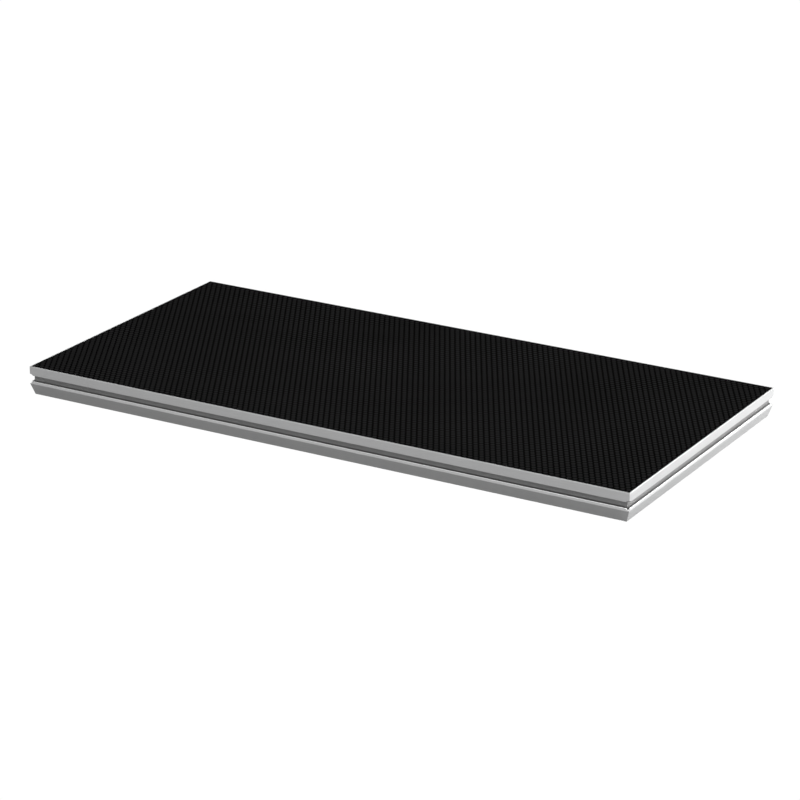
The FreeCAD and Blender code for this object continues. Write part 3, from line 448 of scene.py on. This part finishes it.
def floor_material(name):
    """White paper to the camera and clear from below, but dark to the object, so as not to flood it."""
    shader = Shader(name)
    mottle = shader.noise(3, detail=5)
    seen = shader.mix(mottle, grey(1.0), grey(1.03))
    bounced = shader.mix(mottle, grey(FLOOR_BOUNCE * 0.95), grey(FLOOR_BOUNCE * 1.05))
    to_camera = shader.add("ShaderNodeLightPath").outputs["Is Camera Ray"]
    from_under = shader.add("ShaderNodeNewGeometry").outputs["Backfacing"]
    clear = shader.math("SUBTRACT", 1.0, shader.math("MULTIPLY", to_camera, from_under))
    shader.set(Base_Color=shader.mix(to_camera, bounced, grey(0.0)), Roughness=0.9, Specular_IOR_Level=0.0,
               Emission_Color=seen, Emission_Strength=to_camera, Alpha=clear)
    return shader.material


# Mesh building -----------------------------------------------------------------------------------------


def new_piece(name, mesh, material, slot, body, *replaced):
    """Link a finished mesh as a piece of the object, riding on a body and standing for CAD nodes."""
    piece = bpy.data.objects.new(name, mesh)
    bpy.context.scene.collection.objects.link(piece)
    mesh.materials.append(material)
    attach(piece, body)
    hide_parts(*replaced)


def mesh_from(name, points, faces, smooth_angle=None):
    mesh = bpy.data.meshes.new(name)
    mesh.from_pydata(points, [], faces)
    mesh.validate()
    shell = bmesh.new()
    shell.from_mesh(mesh)
    bmesh.ops.recalc_face_normals(shell, faces=shell.faces)
    shell.to_mesh(mesh)
    shell.free()
    if smooth_angle is not None:
        mesh.shade_smooth()
        mesh.set_sharp_from_angle(angle=math.radians(smooth_angle))
    return mesh


def lathe_rows(rows, steps):
    """Faces between rows of points round an axis, with a fan at each end; each row has steps points."""
    faces = []
    for row in range(rows - 1):
        for step in range(steps):
            following = (step + 1) % steps
            faces.append((row * steps + step, row * steps + following,
                          (row + 1) * steps + following, (row + 1) * steps + step))
    faces.append(tuple(range(steps)))
    faces.append(tuple(range((rows - 1) * steps, rows * steps)))
    return faces


# Walking surface ---------------------------------------------------------------------------------------


def hexagon(centre, pitch, row_step, share, height):
    """Six points with two flats square to X; a share of 1 fills the cell of the given pitch and row step."""
    half = share * pitch / 2
    point = share * row_step * 2 / 3
    outline = [(half, point / 2), (0, point), (-half, point / 2),
               (-half, -point / 2), (0, -point), (half, -point / 2)]
    return [(centre[0] + across, centre[1] + along, height) for across, along in outline]


def grip_surface(material):
    """The film: close-packed raised hexagons with sloped sides over flat grooves, trimmed to the board."""
    low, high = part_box("grip_film")
    pitch = (high.x - low.x) / HEX_COLUMNS
    row_step = (high.y - low.y) / HEX_ROWS
    rows = HEX_ROWS // 2 + 1
    columns = HEX_COLUMNS // 2 + 1
    shell = bmesh.new()
    shared = {}

    def groove_point(place):
        key = (round(place[0] / SHARED_CORNER), round(place[1] / SHARED_CORNER))
        if key not in shared:
            shared[key] = shell.verts.new(place)
        return shared[key]

    for row in range(-rows, rows + 1):
        shift = pitch / 2 * (row % 2)
        for column in range(-columns, columns + 1):
            centre = (column * pitch + shift, row * row_step)
            spacing = (pitch, row_step)
            cell = [groove_point(place) for place in hexagon(centre, *spacing, 1, GROOVE_FLOOR)]
            foot = [shell.verts.new(place) for place in hexagon(centre, *spacing, HEX_FOOT, GROOVE_FLOOR)]
            top = [shell.verts.new(place) for place in hexagon(centre, *spacing, HEX_TOP, high.z)]
            for outer, inner in ((cell, foot), (foot, top)):
                for side in range(6):
                    after = (side + 1) % 6
                    shell.faces.new((outer[side], outer[after], inner[after], inner[side]))
            shell.faces.new(top)

    for place, normal in (((low.x, 0, 0), (-1, 0, 0)), ((high.x, 0, 0), (1, 0, 0)),
                          ((0, low.y, 0), (0, -1, 0)), ((0, high.y, 0), (0, 1, 0))):
        parts = list(shell.verts) + list(shell.edges) + list(shell.faces)
        bmesh.ops.bisect_plane(shell, geom=parts, plane_co=place, plane_no=normal, clear_outer=True,
                               dist=TRIM_TOLERANCE)
    rim = [edge for edge in shell.edges if edge.is_boundary]
    extruded = bmesh.ops.extrude_edge_only(shell, edges=rim)["geom"]
    for vertex in extruded:
        if isinstance(vertex, bmesh.types.BMVert):
            vertex.co.z = low.z
    open_edges = [edge for edge in shell.edges if edge.is_boundary]
    base = bmesh.ops.holes_fill(shell, edges=open_edges, sides=0)["faces"]
    bmesh.ops.triangulate(shell, faces=base)
    bmesh.ops.recalc_face_normals(shell, faces=shell.faces)
    mesh = bpy.data.meshes.new("grip_surface")
    shell.to_mesh(mesh)
    shell.free()
    new_piece("grip_surface", mesh, material, "grip_film", "root", "grip_film")


# Leg clamps --------------------------------------------------------------------------------------------


def clamp_frame(corner):
    """From a clamp's own frame, X away from the leg along its axis, to the deck's."""
    joint = joints[f"clamp_turn_{corner}"]
    away = -Vector(joint["axis"]).normalized()
    up = Vector((0, 0, 1))
    turn = Matrix((away, up.cross(away), up)).transposed().to_4x4()
    return Matrix.Translation(Vector(joint["pos_m"])) @ turn


def ring_points(along, radius, steps, twist=0.0):
    points = []
    for step in range(steps):
        angle = 2 * math.pi * step / steps + twist
        reach = radius(angle) if callable(radius) else radius
        points.append(Vector((along, reach * math.sin(angle), reach * math.cos(angle))))
    return points


def thread_radius(along, angle):
    """Right-hand M12 thread: flat crests and roots, straight flanks, run out at both ends."""
    turn = (along / THREAD_PITCH - angle / (2 * math.pi)) % 1.0
    flank = abs(2 * turn - 1)
    depth = min(max((flank - THREAD_CREST_SHARE) / THREAD_FLANK_SHARE, 0.0), 1.0)
    run_out = min((along - THREAD_START) / THREAD_PITCH, (THREAD_END - along) / THREAD_PITCH, 1.0)
    return THREAD_CREST - THREAD_DEPTH * depth * max(run_out, 0.0)


def clamp_screw(corner, material):
    """Turned screw: journal with a groove for the clip, chamfered shoulder, thread, plain end in the knob."""
    rings = []
    for along, radius in SCREW_NOSE:
        rings.append(ring_points(along, radius, SCREW_FACETS))
    rows = math.ceil((THREAD_END - THREAD_START) / (THREAD_PITCH / ROWS_PER_PITCH))
    for row in range(rows + 1):
        along = THREAD_START + (THREAD_END - THREAD_START) * row / rows
        rings.append(ring_points(along, lambda angle, place=along: thread_radius(place, angle), SCREW_FACETS))
    for along, radius in SCREW_TAIL:
        rings.append(ring_points(along, radius, SCREW_FACETS))
    to_deck = clamp_frame(corner)
    points = [to_deck @ point for ring in rings for point in ring]
    mesh = mesh_from(f"screw_{corner}", points, lathe_rows(len(rings), SCREW_FACETS), smooth_angle=35)
    node = f"clamp_screw_{corner}"
    new_piece(f"threaded_screw_{corner}", mesh, material, "turned_steel", node, node)


def star_radius(angle, full, scallop):
    """Round lobes with hollows between them."""
    wave = 0.5 + 0.5 * math.cos(KNOB_LOBES * angle)
    return full - scallop * (1 - wave ** LOBE_FULLNESS)


def star_knob(corner, material):
    """Moulded star knob: rounded lobes, a stepped hub towards the boss and a dished cap behind."""
    rings = []
    for along, full, scallop in KNOB_PROFILE:
        radius = full
        if scallop:
            def radius(angle, outer=full, hollow=scallop):
                return star_radius(angle, outer, hollow)

        rings.append(ring_points(along, radius, KNOB_FACETS))
    to_deck = clamp_frame(corner)
    points = [to_deck @ point for ring in rings for point in ring]
    mesh = mesh_from(f"knob_{corner}", points, lathe_rows(len(rings), KNOB_FACETS), smooth_angle=40)
    node = f"clamp_knob_{corner}"
    new_piece(f"star_knob_{corner}", mesh, material, "knob", f"clamp_screw_{corner}", node)


# Welds and screws --------------------------------------------------------------------------------------


def member_outline(low, high, radius, step):
    """Points and outward normals down one side of a box section, across its underside and up the other."""
    left, right, bottom, top = low.x, high.x, low.z, high.z
    path = []

    def straight(start, end, normal):
        count = math.ceil((end - start).length / step)
        for index in range(count):
            path.append((start.lerp(end, index / count), normal))

    def bend(centre, start_angle):
        count = math.ceil(radius * math.pi / 2 / step)
        for index in range(count):
            angle = start_angle + math.pi / 2 * index / count
            normal = Vector((math.cos(angle), 0, math.sin(angle)))
            path.append((centre + normal * radius, normal))

    straight(Vector((left, 0, top)), Vector((left, 0, bottom + radius)), Vector((-1, 0, 0)))
    bend(Vector((left + radius, 0, bottom + radius)), math.pi)
    straight(Vector((left + radius, 0, bottom)), Vector((right - radius, 0, bottom)), Vector((0, 0, -1)))
    bend(Vector((right - radius, 0, bottom + radius)), 1.5 * math.pi)
    straight(Vector((right, 0, bottom + radius)), Vector((right, 0, top)), Vector((1, 0, 0)))
    path.append((Vector((right, 0, top)), Vector((1, 0, 0))))
    return path


def weld_bead(points, faces, path, wall, inward, step):
    """One rippled fillet bead along the outline, closed at its ends."""
    first = len(points)
    for row, (place, normal) in enumerate(path):
        run = row * step
        base = Vector((place.x, wall, place.z))
        points.append(base)
        for column in range(WELD_COLUMNS):
            angle = math.pi / 2 * column / (WELD_COLUMNS - 1)
            crown = math.sin(2 * angle)
            ripple = 1 + WELD_RIPPLE * crown * math.cos(2 * math.pi * (run + WELD_LAG * crown) / WELD_STEP)
            reach = WELD_LEG * (1 - WELD_HOLLOW * crown) * ripple
            points.append(base + normal * (reach * math.cos(angle)) + inward * (reach * math.sin(angle)))
    width = WELD_COLUMNS + 1
    for row in range(len(path) - 1):
        for column in range(width):
            after = (column + 1) % width
            near, far = first + row * width, first + (row + 1) * width
            faces.append((near + column, near + after, far + after, far + column))
    faces.append(tuple(first + column for column in range(width)))
    faces.append(tuple(first + (len(path) - 1) * width + column for column in range(width)))


def frame_welds(material):
    points, faces = [], []
    step = WELD_STEP / ROWS_PER_RIPPLE
    for side in ("left", "centre", "right"):
        low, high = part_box(f"cross_member_{side}")
        path = member_outline(low, high, MEMBER_RADIUS, step)
        weld_bead(points, faces, path, low.y, Vector((0, 1, 0)), step)
        weld_bead(points, faces, path, high.y, Vector((0, -1, 0)), step)
    mesh = mesh_from("weld_beads", points, faces, smooth_angle=50)
    new_piece("weld_beads", mesh, material, "weld", "root", "frame_welds")


def solid_centres(node, reach):
    """Middle of each separate solid in a node of small identical solids, no two closer than reach."""
    clusters = []
    for vertex in nodes[node].data.vertices:
        for cluster in clusters:
            if (cluster[0] - vertex.co).length < reach:
                cluster.append(vertex.co)
                break
        else:
            clusters.append([vertex.co])
    centres = []
    for cluster in clusters:
        low = Vector([min(point[axis] for point in cluster) for axis in range(3)])
        high = Vector([max(point[axis] for point in cluster) for axis in range(3)])
        centres.append((low + high) / 2)
    return centres


def lobed(angle, full, depth):
    """Radius of the recess in a screw's head."""
    return full - depth * (0.5 - 0.5 * math.cos(RECESS_LOBES * angle))


def deck_screws(material):
    """Pan-head screws with a six-lobe recess and a coarse thread, standing in the ledge head down."""
    low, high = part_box("deck_screws")
    seat = low.z + SCREW_HEAD
    rings = []
    for along, full, depth in SCREW_RECESS:
        rings.append(ring_points(along, lambda angle, f=full, d=depth: lobed(angle, f, d), DECK_SCREW_FACETS))
    for along, radius in SCREW_PAN:
        rings.append(ring_points(along, radius, DECK_SCREW_FACETS))
    rows = math.ceil((SCREW_POINT - SCREW_PLAIN) / (SCREW_PITCH / DECK_SCREW_ROWS_PER_PITCH))
    for row in range(rows + 1):
        along = SCREW_PLAIN + (SCREW_POINT - SCREW_PLAIN) * row / rows
        taper = min((high.z - seat - along) / SCREW_TAPER, 1.0)

        def radius(angle, place=along, share=taper):
            turn = (place / SCREW_PITCH - angle / (2 * math.pi)) % 1.0
            rise = max(1 - SCREW_SHARPNESS * abs(turn - 0.5), 0.0)
            return (SCREW_ROOT + (SCREW_CREST - SCREW_ROOT) * rise) * share

        rings.append(ring_points(along, radius, DECK_SCREW_FACETS))
    one = [Vector((point.y, -point.z, point.x)) for ring in rings for point in ring]
    points, faces = [], []
    pattern = lathe_rows(len(rings), DECK_SCREW_FACETS)
    for centre in solid_centres("deck_screws", DECK_SCREW_SPACING):
        first = len(points)
        points += [Vector((centre.x, centre.y, seat)) + point for point in one]
        faces += [tuple(first + index for index in face) for face in pattern]
    mesh = mesh_from("deck_screw_set", points, faces, smooth_angle=35)
    new_piece("panel_screws", mesh, material, "fastener", "root", "deck_screws")


# CAD nodes ---------------------------------------------------------------------------------------------


def paint(material, *names):
    for name in names:
        slots = nodes[name].data.materials
        slots.clear()
        slots.append(material)


def paint_nodes():
    rail_x = extruded_aluminium("rail_aluminium_x", "x", RAIL_TONE, edge_rail=True)
    rail_y = extruded_aluminium("rail_aluminium_y", "y", RAIL_TONE, edge_rail=True)
    member = extruded_aluminium("member_aluminium", "y", RAIL_TONE)
    cleat = extruded_aluminium("cleat_aluminium", "z", RAIL_TONE)
    casting = cast_aluminium("cast_aluminium", CASTING_TONE)
    zinc = zinc_plated("zinc_plated", 0.62)
    brass = turned_brass("turned_brass")
    clip = blackened_steel("blackened_spring_steel")
    rubber = rubber_material("elastic")
    board_low, board_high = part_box("deck_board")
    paint(rail_x, "rail_front", "rail_rear")
    paint(rail_y, "rail_left", "rail_right")
    paint(member, "cross_member_left", "cross_member_centre", "cross_member_right")
    paint(plywood_material("birch_plywood", board_low.z, board_high.z), "deck_board")
    paint(backing_film_material("brown_film"), "backing_film")
    paint(rubber, "support_strip_left", "support_strip_centre", "support_strip_right", "bedding_tape",
          "edge_seal")
    paint(zinc, "receiver_screws", "rivet_nuts", "thread_inserts")
    for corner in CORNERS:
        paint(cleat, f"corner_cleat_{corner}")
        paint(casting, f"leg_receiver_{corner}")
        paint(brass, f"clamp_pad_{corner}")
        paint(clip, f"clamp_clip_{corner}")


def make_pieces():
    grip_surface(grip_film_material("black_grip_film"))
    frame_welds(weld_metal("weld_metal"))
    deck_screws(zinc_plated("zinc_screws", 0.6, warmth=0.03))
    turned = zinc_plated("turned_zinc", 0.6)
    moulded = moulded_plastic("moulded_black")
    for corner in CORNERS:
        clamp_screw(corner, turned)
        star_knob(corner, moulded)


# Floor, light and camera -------------------------------------------------------------------------------


def make_floor():
    corners = [(-FLOOR_REACH, -FLOOR_REACH, 0), (FLOOR_REACH, -FLOOR_REACH, 0),
               (FLOOR_REACH, FLOOR_REACH, 0), (-FLOOR_REACH, FLOOR_REACH, 0)]
    mesh = mesh_from("floor", corners, [(0, 1, 2, 3)])
    floor = bpy.data.objects.new("floor", mesh)
    floor.location.z = cad_box[0][2] - FLOOR_GAP
    floor.visible_shadow = False
    mesh.materials.append(floor_material("pale_floor"))
    bpy.context.scene.collection.objects.link(floor)


def aim(item, target, roll=0.0):
    """Point an object's -Z at a place, then roll it about that line."""
    direction = Vector(target) - item.location
    turn = direction.to_track_quat("-Z", "Y")
    item.rotation_euler = (turn.to_matrix() @ Matrix.Rotation(math.radians(roll), 3, "Z")).to_euler()


def area_light(name, place, target, size, power):
    data = bpy.data.lights.new(name, "AREA")
    data.shape = "RECTANGLE"
    data.size, data.size_y = size
    data.energy = power
    light = bpy.data.objects.new(name, data)
    light.location = place
    aim(light, target)
    bpy.context.scene.collection.objects.link(light)


def make_light():
    world = bpy.data.worlds.new("studio")
    bpy.context.scene.world = world
    world.use_nodes = True
    tree = world.node_tree
    background = tree.nodes["Background"]
    background.inputs["Color"].default_value = (1.0, 1.0, 1.0, 1.0)
    # The camera sees white paper up to the horizon and a little above, then the grey that lights the deck
    direction = tree.nodes.new("ShaderNodeTexCoord")
    height = tree.nodes.new("ShaderNodeSeparateXYZ")
    paper = tree.nodes.new("ShaderNodeMapRange")
    paper.inputs["From Min"].default_value, paper.inputs["From Max"].default_value = PAPER_FADE
    paper.inputs["To Min"].default_value = 1.0
    paper.inputs["To Max"].default_value = WORLD_STRENGTH
    camera_ray = tree.nodes.new("ShaderNodeLightPath")
    strength = tree.nodes.new("ShaderNodeMix")
    strength.inputs[2].default_value = WORLD_STRENGTH
    tree.links.new(direction.outputs["Generated"], height.inputs[0])
    tree.links.new(height.outputs[2], paper.inputs["Value"])
    tree.links.new(camera_ray.outputs["Is Camera Ray"], strength.inputs[0])
    tree.links.new(paper.outputs[0], strength.inputs[3])
    tree.links.new(strength.outputs[0], background.inputs["Strength"])
    middle = (0, 0, deck_top / 2)
    for name, place, size, power in LIGHTS:
        area_light(name, place, middle, size, power)


def make_camera():
    data = bpy.data.cameras.new("camera")
    data.lens = CAMERA_LENS
    data.sensor_width = SENSOR_WIDTH
    data.clip_end = VIEW_LIMIT
    camera = bpy.data.objects.new("camera", data)
    azimuth, elevation = math.radians(CAMERA_AZIMUTH), math.radians(CAMERA_ELEVATION)
    target = Vector((*CAMERA_AIM, deck_top))
    back = Vector((math.sin(azimuth) * math.cos(elevation), -math.cos(azimuth) * math.cos(elevation),
                   math.sin(elevation)))
    camera.location = target + back * CAMERA_DISTANCE
    aim(camera, target, CAMERA_ROLL)
    bpy.context.scene.collection.objects.link(camera)
    bpy.context.scene.camera = camera


def set_view():
    scene = bpy.context.scene
    scene.view_settings.view_transform = "Standard"
    scene.cycles.use_denoising = True


paint_nodes()
make_pieces()
make_floor()
make_light()
make_camera()
set_view()
